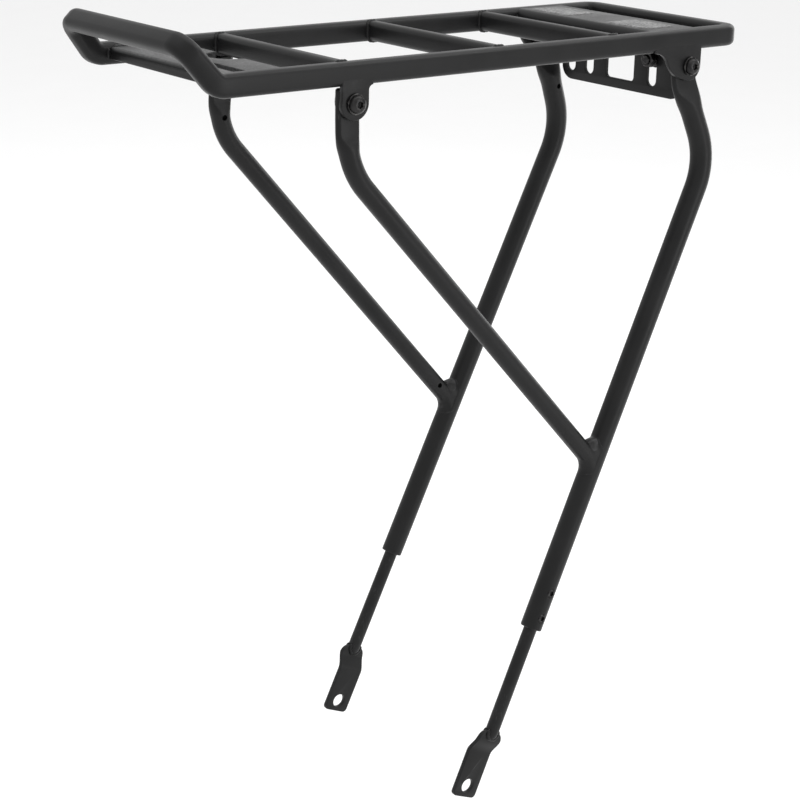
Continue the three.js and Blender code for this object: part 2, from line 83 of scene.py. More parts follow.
RAIL_WIDTH, RAIL_HEIGHT, RAIL_CORNER, HOOP_SECTION_CORNER = 9, 11, 3, 3.8
REAR_BEND, HOOP_SLOPE, HOOP_BEND, HOOP_CORNER, HOOP_INSET = 6.5, radians(51.7), 8, 8.5, 3.75
BAR_WIDTH, BAR_HEIGHT, BAR_CORNER, BAR_INSET, PLATE_IN_RAIL = 8, 10.5, 3, 1.2, 1.5
STAY_PLATE_THICKNESS, STAY_PLATE_BEND, NOTCH_RADIUS = 3, 3, 12.5
STAY_SLOT_FROM, STAY_SLOT_TO, STAY_SLOT_WIDTH = 9, 45, 6.4
TOP_PLATE_THICKNESS, TOP_PLATE_BEND, TOP_PLATE_STEP = 2.5, 4, 0.75
PAD_INNER, PAD_OUTER, PAD_MARGIN, PAD_CORNER, PAD_HEIGHT = 15, 47, 4.5, 4, 0.45
# The last value here is how much the plates' whole upper faces are lightened: a painted highlight.
PAD_SLOPE, PAD_REAR_GAP, PLATE_TOP_SHEEN = 1.4, 5.3, 0.15
LIGHT_PLATE_CORNER, LIGHT_SLOT_WIDTH, LIGHT_WINDOW_WIDTH = 8, 7, 22
LIGHT_SLOTS, LIGHT_SLOT_MARGIN, LIGHT_SLOT_TOP = (-25, 25, 40), 4.9, -10
LIGHT_WINDOW_MARGIN, LIGHT_WINDOW_CORNER = 5.4, 2.5
LIGHT_WELDS, LIGHT_WELD_LENGTH = (-44, -8, 28), 16
EAR_THICKNESS, EAR_RADIUS, EAR_FILLET, EAR_GAP = 2.5, 8, 2.4, 0.3
REAR_EAR_FOOT, REAR_EAR_NECK, REAR_EAR_BELLY = 24.4, (16.9, 3.6), (12.9, -5.3)
FLAT_THICKNESS, FLAT_BEND, FLAT_BEND_Z, FLAT_NOSE = 4, 24, -22, 1.2
LEG_FLAT, LEG_FLAT_END, LEG_ROUND_START = 16.5, 17, 36
STRUT_FLAT, STRUT_FLAT_END, STRUT_ROUND_START, STRUT_FLAT_SHIFT = 13, 21, 33, -1.2
LEG_RADIUS, LEG_BORE, BORE_DEPTH, LEG_BEND, LEG_KNEE_Z = 6, 4.05, 140, 38, -66.3
STRUT_RADIUS, STRUT_BEND, STRUT_JOINT_Z, JOINT_FILLET = 5, 38, -225.5, 4.5
STRUT_KNEE, STRUT_DEPTH_IN_WALL = Vector((-2, 57, -44.8)), 0.7
ROD_RADIUS, ROD_INSIDE, ROD_IN_TAB, ROD_RING_STEP = 3.75, 75, 4, 5
TAB_TOP, TAB_BOTTOM, TAB_WIDTH, TAB_THICKNESS = -60.6, -101, 16.7, 2.6
TAB_SHOULDER, TAB_CORNER, TAB_HOLE, TAB_HOLE_RADIUS = 6, 2.5, -94.5, 4
JOGGLE_START, JOGGLE_END, JOGGLE_OFFSET = -65, -75, 4
VENT_RADIUS, VENT_DEPTH, LEG_VENT, STRUT_VENT_Z, JOINT_VENT = 1.5, 8, (8, -41.5), -38, 19
SCREW_SHANK, SCREW_SOCKET, SOCKET_DEPTH, WASHER_RIM = 4.9, 3, 1.7, 1.2
WASHER_HOLE, NUT_FLATS, NUT_HOLE = 5.3, 8, 5.1
SET_SCREW_OFFSETS, SET_SCREW_RADIUS, SET_SCREW_SOCKET = (7.3, 21.9), 2.45, 2.5
FOOT_SLIDE, FLOOR_RADII = 30, (1000, 12000)


# ---- Materials ----------------------------------------------------------------------------------

COAT_DARK, COAT_PALE = (0.0055, 0.0055, 0.0057, 1), (0.0085, 0.0085, 0.0088, 1)
COAT_RUBBED, COAT_WORN = (0.06, 0.06, 0.062, 1), (0.05, 0.05, 0.052, 1)
# A pale grey laid on the plates' upper faces: wear on the pads, and a painted highlight on the
# up-facing tops.
COAT_SCUFF_AND_SHEEN = (0.21, 0.21, 0.208, 1)
STEEL_DARK, STEEL_PALE = (0.012, 0.012, 0.013, 1), (0.028, 0.027, 0.027, 1)
STEEL_BARE = (0.16, 0.155, 0.15, 1)
FLOOR_COLOR = (0.93, 0.93, 0.93, 1)


class Nodes:
    """A small builder for one material's shader nodes."""

    def __init__(self, name):
        self.material = bpy.data.materials.new(name)
        self.material.use_nodes = True
        self.tree = self.material.node_tree
        self.shader = self.tree.nodes["Principled BSDF"]
        self.coordinates = self.add("ShaderNodeTexCoord").outputs["Object"]

    def add(self, kind, **settings):
        node = self.tree.nodes.new(kind)
        for key, value in settings.items():
            setattr(node, key, value)
        return node

    def join(self, source, target):
        self.tree.links.new(source, target)

    def noise(self, size, detail=3, stretch=(1, 1, 1)):
        """Noise whose features are about size millimetres across."""
        mapping = self.add("ShaderNodeMapping")
        mapping.inputs["Scale"].default_value = stretch
        texture = self.add("ShaderNodeTexNoise")
        texture.inputs["Scale"].default_value = 1 / (size * MM)
        texture.inputs["Detail"].default_value = detail
        self.join(self.coordinates, mapping.inputs["Vector"])
        self.join(mapping.outputs["Vector"], texture.inputs["Vector"])
        return texture.outputs["Fac"]

    def remap(self, value, from_low, from_high, to_low, to_high):
        node = self.add("ShaderNodeMapRange")
        node.inputs["From Min"].default_value = from_low
        node.inputs["From Max"].default_value = from_high
        node.inputs["To Min"].default_value = to_low
        node.inputs["To Max"].default_value = to_high
        self.join(value, node.inputs["Value"])
        return node.outputs["Result"]

    def math(self, operation, a, b):
        node = self.add("ShaderNodeMath", operation=operation)
        for socket, value in zip(node.inputs, (a, b)):
            if isinstance(value, (int, float)):
                socket.default_value = value
            else:
                self.join(value, socket)
        return node.outputs["Value"]

    def mix(self, factor, a, b):
        """A mix of two colours."""
        node = self.add("ShaderNodeMix", data_type="RGBA")
        self.join(factor, node.inputs["Factor"])
        for socket, value in zip((node.inputs[6], node.inputs[7]), (a, b)):
            if isinstance(value, tuple):
                socket.default_value = value
            else:
                self.join(value, socket)
        return node.outputs[2]

    def bump(self, height, distance, strength, normal=None):
        """Bumps up to distance millimetres deep."""
        node = self.add("ShaderNodeBump")
        node.inputs["Distance"].default_value = distance * MM
        node.inputs["Strength"].default_value = strength
        self.join(height, node.inputs["Height"])
        if normal is not None:
            self.join(normal, node.inputs["Normal"])
        return node.outputs["Normal"]

    def edges(self, low=0.525, high=0.60):
        """1 on sharp outer edges, 0 elsewhere."""
        geometry = self.add("ShaderNodeNewGeometry")
        return self.remap(geometry.outputs["Pointiness"], low, high, 0, 1)


def powder_coat():
    """Satin black powder: orange-peel skin, fine grain, duller in drifts, rubbed on its edges."""
    n = Nodes("powder_coat")
    drift = n.noise(28, detail=4)
    peel = n.noise(1.6, detail=2)
    grain = n.noise(0.35, detail=2)
    rub = n.math("MULTIPLY", n.edges(), n.remap(n.noise(5, detail=5), 0.48, 0.62, 0, 1))
    tone = n.mix(n.remap(drift, 0.35, 0.65, 0, 1), COAT_DARK, COAT_PALE)
    tone = n.mix(n.math("MULTIPLY", rub, 0.35), tone, COAT_RUBBED)
    # The attribute read here lightens the coat: partly wear on the top plate's pads, partly a
    # painted highlight on the plates' upper faces.
    scuff_and_sheen = n.add("ShaderNodeAttribute", attribute_name="scuff_and_sheen").outputs["Fac"]
    speckle = n.remap(n.noise(1.1, detail=6), 0.36, 0.62, 0, 1)
    patches = n.remap(n.noise(9, detail=4), 0.38, 0.58, 0.4, 1)
    scuff_and_sheen_share = n.math("MULTIPLY", scuff_and_sheen, n.math("MULTIPLY", speckle, patches))
    tone = n.mix(scuff_and_sheen_share, tone, COAT_SCUFF_AND_SHEEN)
    n.join(tone, n.shader.inputs["Base Color"])
    drifting = n.remap(drift, 0.3, 0.7, 0.34, 0.44)
    rough = n.math("ADD", drifting, n.remap(grain, 0.3, 0.7, -0.03, 0.04))
    rough = n.math("SUBTRACT", rough, n.math("MULTIPLY", rub, 0.08))
    rough = n.math("SUBTRACT", rough, n.math("MULTIPLY", scuff_and_sheen_share, 0.06))
    n.join(rough, n.shader.inputs["Roughness"])
    skin = n.bump(peel, 0.05, 0.35)
    n.join(n.bump(grain, 0.02, 0.30, skin), n.shader.inputs["Normal"])
    gloss = n.math("ADD", n.math("MULTIPLY", scuff_and_sheen_share, 0.9), 0.21)
    n.join(gloss, n.shader.inputs["Specular IOR Level"])
    return n.material


def black_steel():
    """Black-plated steel: dark and a little glossy, with turning marks and bare edges."""
    n = Nodes("black_steel")
    cloud = n.noise(3, detail=5)
    fine = n.noise(0.18, detail=3, stretch=(1, 1, 4))
    broken = n.remap(n.noise(1.5, detail=5), 0.45, 0.6, 0, 1)
    rub = n.math("MULTIPLY", n.edges(0.53, 0.62), broken)
    tone = n.mix(n.remap(cloud, 0.35, 0.65, 0, 1), STEEL_DARK, STEEL_PALE)
    tone = n.mix(n.math("MULTIPLY", rub, 0.5), tone, STEEL_BARE)
    n.join(tone, n.shader.inputs["Base Color"])
    n.join(n.remap(cloud, 0.3, 0.7, 0.26, 0.40), n.shader.inputs["Roughness"])
    n.join(n.bump(fine, 0.015, 0.35), n.shader.inputs["Normal"])
    n.shader.inputs["Metallic"].default_value = 0.75
    return n.material


def sliding_coat():
    """Powder coat with lengthwise marks, where a rod has slid in its tube."""
    n = Nodes("sliding_coat")
    streak = n.noise(0.7, detail=4, stretch=(1, 1, 0.03))
    drift = n.noise(12, detail=4)
    worn = n.math("MULTIPLY", n.remap(streak, 0.56, 0.66, 0, 1), n.remap(drift, 0.45, 0.6, 0, 1))
    tone = n.mix(n.remap(drift, 0.35, 0.65, 0, 1), COAT_DARK, COAT_PALE)
    tone = n.mix(n.math("MULTIPLY", worn, 0.3), tone, COAT_WORN)
    n.join(tone, n.shader.inputs["Base Color"])
    n.join(n.remap(streak, 0.3, 0.7, 0.46, 0.36), n.shader.inputs["Roughness"])
    n.join(n.bump(streak, 0.03, 0.3), n.shader.inputs["Normal"])
    n.shader.inputs["Specular IOR Level"].default_value = 0.22
    return n.material


POWDER_COAT = powder_coat()
BLACK_STEEL = black_steel()
SLIDING_COAT = sliding_coat()


# ---- Pieces -------------------------------------------------------------------------------------

def add_piece(name, bm, body="rack", material=POWDER_COAT, replaces=(), smooth=35):
    """Makes a piece from a mesh in millimetres. Faces that meet at less than smooth degrees are
    shaded as one surface."""
    bmesh.ops.remove_doubles(bm, verts=bm.verts, dist=0.001)
    bmesh.ops.recalc_face_normals(bm, faces=bm.faces)
    bm.transform(Matrix.Scale(MM, 4))
    mesh = bpy.data.meshes.new(name)
    bm.to_mesh(mesh)
    bm.free()
    mesh.materials.append(material)
    mesh.polygons.foreach_set("use_smooth", [True] * len(mesh.polygons))
    mesh.set_sharp_from_angle(angle=radians(smooth))
    piece = bpy.data.objects.new(name, mesh)
    bpy.context.scene.collection.objects.link(piece)
    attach(piece, body)
    if replaces:
        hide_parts(*replaces)
    return piece


def mark_scuff_and_sheen(piece, share_at):
    """Says how much a piece's coat is lightened, from 0 to 1, at each of its points in millimetres:
    wear on the pads and a painted highlight on upper faces.
    """
    layer = piece.data.attributes.new("scuff_and_sheen", "FLOAT", "POINT")
    for vert, item in zip(piece.data.vertices, layer.data):
        item.value = share_at(vert.co / MM)


def loft(bm, rings, closed=False, caps=True):
    """Skins a list of rings that all have the same number of points."""
    loops = [[bm.verts.new(point) for point in ring] for ring in rings]
    count = len(loops[0])
    pairs = list(zip(loops, loops[1:]))
    if closed:
        pairs.append((loops[-1], loops[0]))
    for a, b in pairs:
        for i in range(count):
            j = (i + 1) % count
            bm.faces.new((a[i], a[j], b[j], b[i]))
    if caps and not closed:
        bm.faces.new(loops[0][::-1])
        bm.faces.new(loops[-1])


def cut(bm, cutters):
    """Takes the closed meshes in cutters out of bm."""
    objects = []
    for source in (bm, *cutters):
        bmesh.ops.remove_doubles(source, verts=source.verts, dist=0.001)
        bmesh.ops.recalc_face_normals(source, faces=source.faces)
        mesh = bpy.data.meshes.new("cut")
        source.to_mesh(mesh)
        objects.append(bpy.data.objects.new("cut", mesh))
        bpy.context.scene.collection.objects.link(objects[-1])
    bm.clear()
    for cutter in objects[1:]:
        modifier = objects[0].modifiers.new("cut", "BOOLEAN")
        modifier.operation = "DIFFERENCE"
        modifier.solver = "EXACT"
        modifier.object = cutter
    solved = objects[0].evaluated_get(bpy.context.evaluated_depsgraph_get())
    result = bpy.data.meshes.new_from_object(solved)
    bm.from_mesh(result)
    bpy.data.meshes.remove(result)
    for used in objects:
        bpy.data.meshes.remove(used.data)
    for cutter in cutters:
        cutter.free()


# ---- Paths and sections -------------------------------------------------------------------------

def disc(radius, count=32):
    """Points round a circle, centred on the origin."""
    return [(radius * cos(2 * pi * i / count), radius * sin(2 * pi * i / count))
            for i in range(count)]


def rounded_section(width, height, radius, per_corner=8):
    """Points round a rectangle with rounded corners, centred on the origin."""
    points = []
    for corner, (side, top) in enumerate(((1, 1), (-1, 1), (-1, -1), (1, -1))):
        for i in range(per_corner):
            angle = (corner + (i + 0.5) / per_corner) * pi / 2
            points.append((side * (width / 2 - radius) + radius * cos(angle),
                           top * (height / 2 - radius) + radius * sin(angle)))
    return points


def arc(centre, radius, start, end, steps=10):
    """Points on an arc from start to end degrees."""
    angles = [radians(start + (end - start) * i / steps) for i in range(steps + 1)]
    return [(centre[0] + radius * cos(a), centre[1] + radius * sin(a)) for a in angles]


def rounded_outline(x0, y0, x1, y1, radius):
    """The outline of a rectangle with rounded corners, from its limits."""
    return (arc((x1 - radius, y0 + radius), radius, -90, 0)
            + arc((x1 - radius, y1 - radius), radius, 0, 90)
            + arc((x0 + radius, y1 - radius), radius, 90, 180)
            + arc((x0 + radius, y0 + radius), radius, 180, 270))


def bent_path(corners, bends, step=radians(5)):
    """Points along straight runs that are joined by round bends, one for each inner corner."""
    points = [corners[0]]
    for i, bend in enumerate(bends, start=1):
        before = (corners[i] - corners[i - 1]).normalized()
        after = (corners[i + 1] - corners[i]).normalized()
        angle = before.angle(after)
        inward = (after - before * after.dot(before)).normalized()
        start = corners[i] - before * bend * tan(angle / 2)
        count = max(2, ceil(angle / step))
        for k in range(count + 1):
            swept = angle * k / count
            points.append(start + inward * bend * (1 - cos(swept)) + before * bend * sin(swept))
    points.append(corners[-1])
    return points


def resample(path, distances=None, spacing=2.0):
    """The points at the given distances along a path, or evenly spaced ones."""
    reach = [0.0]
    for a, b in zip(path, path[1:]):
        reach.append(reach[-1] + (b - a).length)
    if distances is None:
        count = max(2, round(reach[-1] / spacing))
        distances = [reach[-1] * i / count for i in range(count + 1)]
    points, i = [], 0
    for distance in distances:
        while i < len(path) - 2 and reach[i + 1] < distance:
            i += 1
        share = (distance - reach[i]) / max(reach[i + 1] - reach[i], 1e-9)
        points.append(path[i].lerp(path[i + 1], share))
    return points


def length_of(path):
    return sum((b - a).length for a, b in zip(path, path[1:]))


def place_rings(path, up, section_at):
    """One ring for each point of a path. section_at gives the section at a point's number, with
    its first axis to the side and its second axis along up, which is carried without twist."""
    rings = []
    last = len(path) - 1
    for i, point in enumerate(path):
        before = path[max(i - 1, 0)]
        after = path[min(i + 1, last)]
        tangent = ((point - before).normalized() + (after - point).normalized()).normalized()
        up = (up - tangent * up.dot(tangent)).normalized()
        side = tangent.cross(up)
        rings.append([point + side * u + up * v for u, v in section_at(i)])
    return rings


def smooth_step(value, low, high):
    share = min(max((value - low) / (high - low), 0), 1)
    return share * share * (3 - 2 * share)


# ---- Welds --------------------------------------------------------------------------------------

WELD_STEP, WELD_PITCH = 0.5, 2.1


def add_weld(bm, path, radius, seed):
    """A weld bead along a path: overlapping ripples with a little wander, and tapered ends."""
    points = resample(path, spacing=WELD_STEP)
    ripples = max(1, round(length_of(path) / WELD_PITCH))
    sections = []
    for i in range(len(points)):
        share = i / len(points) * ripples % 1
        wander = 0.10 * noise.noise(Vector((0.5 * i, seed, 0)))
        size = radius * (0.90 + 0.14 * sin(pi * share) + wander)
        nearest = min(i, len(points) - 1 - i) * WELD_STEP
        size *= sqrt(min(1, 0.15 + nearest / (1.5 * radius)))
        sections.append(disc(size, 12))
    tangent = (points[1] - points[0]).normalized()
    up = X if abs(tangent.x) < 0.7 else Z
    loft(bm, place_rings(points, up, lambda i: sections[i]))


def add_fillet(bm, joint, run, radius, up, wall, fillet, count=72):
    """The smooth weld round a tube that ends on the side of another. Their axes, run and up, cross
    at the joint, and wall is the radius of the tube along up."""
    across = run.cross(up).normalized()
    other = run.cross(across)
    slant = run - up * run.dot(up)

    def on_tube(point, axis, size):
        centre = joint + axis * (point - joint).dot(axis)
        return centre + (point - centre).normalized() * size

    rings = []
    for i in range(count):
        angle = 2 * pi * i / count
        normal = across * cos(angle) + other * sin(angle)
        flat = normal * radius - up * (normal * radius).dot(up)
        half = flat.dot(slant) / slant.dot(slant)
        depth = half * half - (flat.dot(flat) - wall * wall) / slant.dot(slant)
        corner = joint + normal * radius + run * (sqrt(depth) - half)
        wall_normal = (corner - joint - up * (corner - joint).dot(up)).normalized()
        between = normal.dot(wall_normal)
        leg = fillet * max(tan(normal.angle(wall_normal) / 2), 1.15)
        leg *= 1 + 0.06 * noise.noise(corner * 0.4)
        start = on_tube(corner + (wall_normal - normal * between).normalized() * leg, run, radius)
        finish = on_tube(corner + (normal - wall_normal * between).normalized() * leg, up, wall)
        handle = corner.lerp((start + finish) / 2, 0.3)
        ring = [start - normal, start + normal * 0.02]
        for k in range(1, 9):
            t = k / 9
            ring.append(start * (1 - t) ** 2 + handle * 2 * t * (1 - t) + finish * t * t)
        rings.append([*ring, finish + wall_normal * 0.02, finish - wall_normal])
    loft(bm, rings, closed=True)


# ---- Plates -------------------------------------------------------------------------------------

def plate(outline, holes, thickness, bevel=0.35):
    """A flat plate with rounded edges, its middle plane at z = 0."""
    curve = bpy.data.curves.new("plate", "CURVE")
    curve.dimensions = "2D"
    curve.fill_mode = "BOTH"
    curve.extrude = thickness / 2 - bevel
    curve.bevel_depth = bevel
    curve.bevel_resolution = 2
    curve.offset = -bevel
    for points in (outline, *holes):
        spline = curve.splines.new("POLY")
        spline.points.add(len(points) - 1)
        for point, (x, y) in zip(spline.points, points):
            point.co = (x, y, 0, 1)
        spline.use_cyclic_u = True
    helper = bpy.data.objects.new("plate", curve)
    bpy.context.scene.collection.objects.link(helper)
    solved = helper.evaluated_get(bpy.context.evaluated_depsgraph_get())
    mesh = bpy.data.meshes.new_from_object(solved)
    bm = bmesh.new()
    bm.from_mesh(mesh)
    bpy.data.meshes.remove(mesh)
    bpy.data.curves.remove(curve)
    bmesh.ops.remove_doubles(bm, verts=bm.verts, dist=0.002)
    return bm


def slice_at(bm, axis, values):
    """Adds edges across a mesh at the given places along an axis, so that it can bend there."""
    for value in values:
        everything = [*bm.verts, *bm.edges, *bm.faces]
        bmesh.ops.bisect_plane(bm, geom=everything, plane_co=axis * value, plane_no=axis)


# ---- Platform loop ------------------------------------------------------------------------------

loop_low, loop_high = box("platform_loop")
RAIL_TOP = box("crossbar_middle")[1].z
rail_z = RAIL_TOP - RAIL_HEIGHT / 2
rail_y = loop_high.y - RAIL_WIDTH / 2
rail_inner = loop_high.y - RAIL_WIDTH


def rail_wall(z):
    """Half the gap between the rails' inner surfaces at height z."""
    above = max(0, z - (RAIL_TOP - RAIL_CORNER))
    return rail_inner + RAIL_CORNER - sqrt(max(0, RAIL_CORNER ** 2 - above ** 2))


def make_loop():
    flat_up, flat_across = RAIL_HEIGHT / 2 - RAIL_CORNER, RAIL_WIDTH / 2 - RAIL_CORNER
    hoop_x = loop_low.x + RAIL_CORNER + flat_up * cos(HOOP_SLOPE) + flat_across * sin(HOOP_SLOPE)
    hoop_z = loop_high.z - RAIL_CORNER - flat_up * sin(HOOP_SLOPE) - flat_across * cos(HOOP_SLOPE)
    hoop_y = rail_y - HOOP_INSET
    turn_x = hoop_x + (hoop_z - rail_z) / tan(HOOP_SLOPE)
    rear_x = loop_high.x - RAIL_WIDTH / 2
    half = bent_path([
        Vector((rear_x, 0, rail_z)),
        Vector((rear_x, rail_y, rail_z)),
        Vector((turn_x, rail_y, rail_z)),
        Vector((hoop_x, hoop_y, hoop_z)),
        Vector((hoop_x, 0, hoop_z)),
    ], [REAR_BEND, HOOP_BEND, HOOP_CORNER])

    def section_at(i):
        share = smooth_step(half[i].z, rail_z, rail_z + 8)
        corner = RAIL_CORNER + (HOOP_SECTION_CORNER - RAIL_CORNER) * share
        return rounded_section(RAIL_WIDTH, RAIL_HEIGHT, corner)

    rings = place_rings(half, Z, section_at)
    mirrored = [[Vector((p.x, -p.y, p.z)) for p in ring] for ring in reversed(rings[1:-1])]
    bm = bmesh.new()
    loft(bm, rings + mirrored, closed=True)
    add_piece("platform_tube", bm, replaces=["platform_loop"])


make_loop()


# ---- Crossbars ----------------------------------------------------------------------------------

def make_crossbar(node):
    centre = middle(node)
    section = rounded_section(BAR_WIDTH, BAR_HEIGHT, BAR_CORNER)
    ends = [Vector((centre.x, side * (rail_y - BAR_INSET), centre.z)) for side in (-1, 1)]
    bm = bmesh.new()
    loft(bm, place_rings(resample(ends, spacing=8), Z, lambda i: section))
    for sign in SIDES.values():
        seam = [Vector((centre.x + u * 1.03, sign * (rail_wall(centre.z + v) + 0.1), centre.z + v))
                for u, v in section if centre.z + v < RAIL_TOP - 0.15]
        top = max(range(len(seam)), key=lambda i: seam[i].z + (seam[i].x > centre.x) * 0.01)
        add_weld(bm, seam[top:] + seam[:top], radius=1.05, seed=centre.x + sign)
    add_piece(f"{node}_tube", bm, replaces=[node])


for node in ("crossbar_front", "crossbar_middle", "crossbar_rear"):
    make_crossbar(node)


# ---- Front stay plate ---------------------------------------------------------------------------

def bend_down(bm, edge, radius, thickness):
    """Rolls what lies before x = edge + radius round a bend and down, with no stretch at the
    middle plane."""
    neutral = radius - thickness / 2
    start = edge + radius
    arc_length = neutral * pi / 2
    slice_at(bm, X, [start - arc_length * i / 8 for i in range(9)])
    for vert in bm.verts:
        past = start - vert.co.x
        if past <= 0:
            continue
        angle = min(past, arc_length) / neutral
        rest = max(0, past - arc_length)
        lift = neutral + vert.co.z
        vert.co.x = start - lift * sin(angle) - rest * cos(angle)
        vert.co.z = lift * cos(angle) - neutral - rest * sin(angle)


def make_stay_plate():
    low, high = box("front_stay_plate")
    thickness, bend = STAY_PLATE_THICKNESS, STAY_PLATE_BEND
    neutral = bend - thickness / 2
    drop = high.z - low.z - bend
    pattern_front = low.x + bend - neutral * pi / 2 - drop
    reach = rail_inner + PLATE_IN_RAIL
    notch = arc((high.x, 0), NOTCH_RADIUS, 270, 90, 24)
    outline = [(pattern_front, -reach), (high.x, -reach), *notch, (high.x, reach),
               (pattern_front, reach)]
    half = STAY_SLOT_WIDTH / 2
    slots = [rounded_outline(-half, a, half, b, half - 0.001)
             for a, b in ((STAY_SLOT_FROM, STAY_SLOT_TO), (-STAY_SLOT_TO, -STAY_SLOT_FROM))]
    bm = plate(outline, slots, thickness, bevel=0.45)
    bend_down(bm, low.x, bend, thickness)
    bm.transform(Matrix.Translation((0, 0, thickness / 2)))
    for sign in SIDES.values():
        front = [Vector((low.x - 0.2, sign * (rail_inner + 0.1), z))
                 for z in (low.z + 0.4, high.z - 0.6)]
        add_weld(bm, front, radius=1.0, seed=sign)
        for z in (high.z, 0):
            line = [Vector((x, sign * (rail_inner + 0.1), z)) for x in (low.x + 3, high.x - 1)]
            add_weld(bm, line, radius=0.8, seed=z + sign)
    piece = add_piece("stay_plate", bm, replaces=["front_stay_plate"])
    # A painted highlight: the plate's whole upper face is lightened.
    mark_scuff_and_sheen(piece, lambda p: PLATE_TOP_SHEEN if p.z > high.z - 0.6 else 0)


make_stay_plate()


# ---- Rear top plate -----------------------------------------------------------------------------

def make_top_plate():
    low, high = box("rear_top_plate")
    top = high.z - 0.5
    bend, thickness = TOP_PLATE_BEND, TOP_PLATE_THICKNESS
    pads = (low.x + PAD_MARGIN, high.x - PAD_MARGIN - PAD_REAR_GAP)

    profile = [(low.x, z, -1, 0) for z in (low.z, low.z + 0.01, top - bend - 0.5)]
    profile += [(low.x + bend - bend * cos(a), top - bend + bend * sin(a), -cos(a), sin(a))
                for a in (pi / 2 * i / 8 for i in range(9))]
    count = round(high.x - low.x - 2 * bend)
    profile += [(low.x + bend + i, top, 0, 1) for i in range(1, count)]
    profile += [(high.x - bend + bend * cos(a), top - bend + bend * sin(a), cos(a), sin(a))
                for a in (pi / 2 * (8 - i) / 8 for i in range(9))]
    profile += [(high.x, z, 1, 0) for z in (top - bend - 0.5, low.z + 0.01, low.z)]

    def pad(x, y):
        """Height of the raised pads."""
        across = min(x - pads[0], pads[1] - x)
        along = min(abs(y) - PAD_INNER, PAD_OUTER - abs(y))
        if across < PAD_CORNER and along < PAD_CORNER:
            inside = PAD_CORNER - sqrt((PAD_CORNER - across) ** 2 + (PAD_CORNER - along) ** 2)
        else:
            inside = min(across, along)
        return PAD_HEIGHT * smooth_step(inside, 0, PAD_SLOPE)

    reach = rail_inner + PLATE_IN_RAIL
    rings = []
    stations = round(2 * reach / TOP_PLATE_STEP)
    for i in range(stations + 1):
        y = -reach + 2 * reach * i / stations
        outer, inner = [], []
        for x, z, nx, nz in profile:
            rise = pad(x, y) if nz == 1 else 0
            outer.append(Vector((x + nx * rise, y, z + nz * rise)))
            inner.append(Vector((x - nx * thickness, y, z - nz * thickness)))
        rings.append(outer + inner[::-1])
    bm = bmesh.new()
    loft(bm, rings)
    for sign in SIDES.values():
        for x in (low.x, high.x):
            line = [Vector((x, sign * (rail_inner + 0.1), z)) for z in (low.z + 1, top - 3)]
            add_weld(bm, line, radius=0.9, seed=x + sign)
    piece = add_piece("top_plate", bm, replaces=["rear_top_plate"])

    # The upper face gets a painted highlight all over, and the pads get more: partly wear, partly
    # painted highlight.
    def scuff_and_sheen_share(point):
        if point.z < top - 0.1:
            return 0
        return PLATE_TOP_SHEEN + (1 - PLATE_TOP_SHEEN) * pad(point.x, point.y) / PAD_HEIGHT

    mark_scuff_and_sheen(piece, scuff_and_sheen_share)


make_top_plate()


# ---- Light plate --------------------------------------------------------------------------------

def make_light_plate():
    low, high = box("light_plate")
    centre = middle("light_plate")
    corner, half = LIGHT_PLATE_CORNER, high.y
    outline = [(half, high.z), (-half, high.z),
               *arc((corner - half, low.z + corner), corner, 180, 270),
               *arc((half - corner, low.z + corner), corner, 270, 360)]
    slot_low, window_low = low.z + LIGHT_SLOT_MARGIN, low.z + LIGHT_WINDOW_MARGIN
    width = LIGHT_SLOT_WIDTH / 2
    holes = [rounded_outline(y - width, slot_low, y + width, LIGHT_SLOT_TOP, width - 0.001)
             for y in LIGHT_SLOTS]
    reach = LIGHT_WINDOW_WIDTH / 2
    holes.append(rounded_outline(-reach, window_low, reach, LIGHT_SLOT_TOP, LIGHT_WINDOW_CORNER))
    bm = plate(outline, holes, high.x - low.x)
    bm.transform(Matrix(((0, 0, 1, centre.x), (1, 0, 0, 0), (0, 1, 0, 0), (0, 0, 0, 1))))
    flange_bottom = box("rear_top_plate")[0].z
    for start in LIGHT_WELDS:
        line = [Vector((high.x + 0.2, y, flange_bottom - 0.2))
                for y in (start, start + LIGHT_WELD_LENGTH)]
        add_weld(bm, line, radius=0.9, seed=start)
    add_piece("light_bracket", bm, replaces=["light_plate"])


make_light_plate()


# ---- Ears ---------------------------------------------------------------------------------------

ear_outer = loop_high.y
ear_inner = ear_outer - EAR_THICKNESS
flat_y = ear_inner - EAR_GAP - FLAT_THICKNESS / 2
rail_bottom = RAIL_TOP - RAIL_HEIGHT


def curve_through(a, handle, b, steps=10):
    """Points on the curve from a to b that leaves and arrives towards the handle."""
    shares = [i / steps for i in range(1, steps + 1)]
    return [tuple((1 - t) ** 2 * u + 2 * t * (1 - t) * v + t * t * w
                  for u, v, w in zip(a, handle, b)) for t in shares]


def rear_flank(bolt):
    """A rear ear's front side: a hollow under the rail and then a full belly."""
    foot = (bolt.x - REAR_EAR_FOOT, rail_bottom)
    neck = (bolt.x - REAR_EAR_NECK[0], bolt.z + REAR_EAR_NECK[1])
    belly = (bolt.x - REAR_EAR_BELLY[0], bolt.z + REAR_EAR_BELLY[1])
    angle = radians(238)
    toe = (bolt.x + EAR_RADIUS * cos(angle), bolt.z + EAR_RADIUS * sin(angle))
    hollow = ((foot[0] + neck[0]) / 2 + 1.2, (foot[1] + neck[1]) / 2 + 1.4)
    points = [(foot[0] - 2, rail_bottom + 1.6), (foot[0] - 2, rail_bottom + 0.3), foot]
    points += curve_through(foot, hollow, neck)
    return points + curve_through(neck, belly, toe, 14)


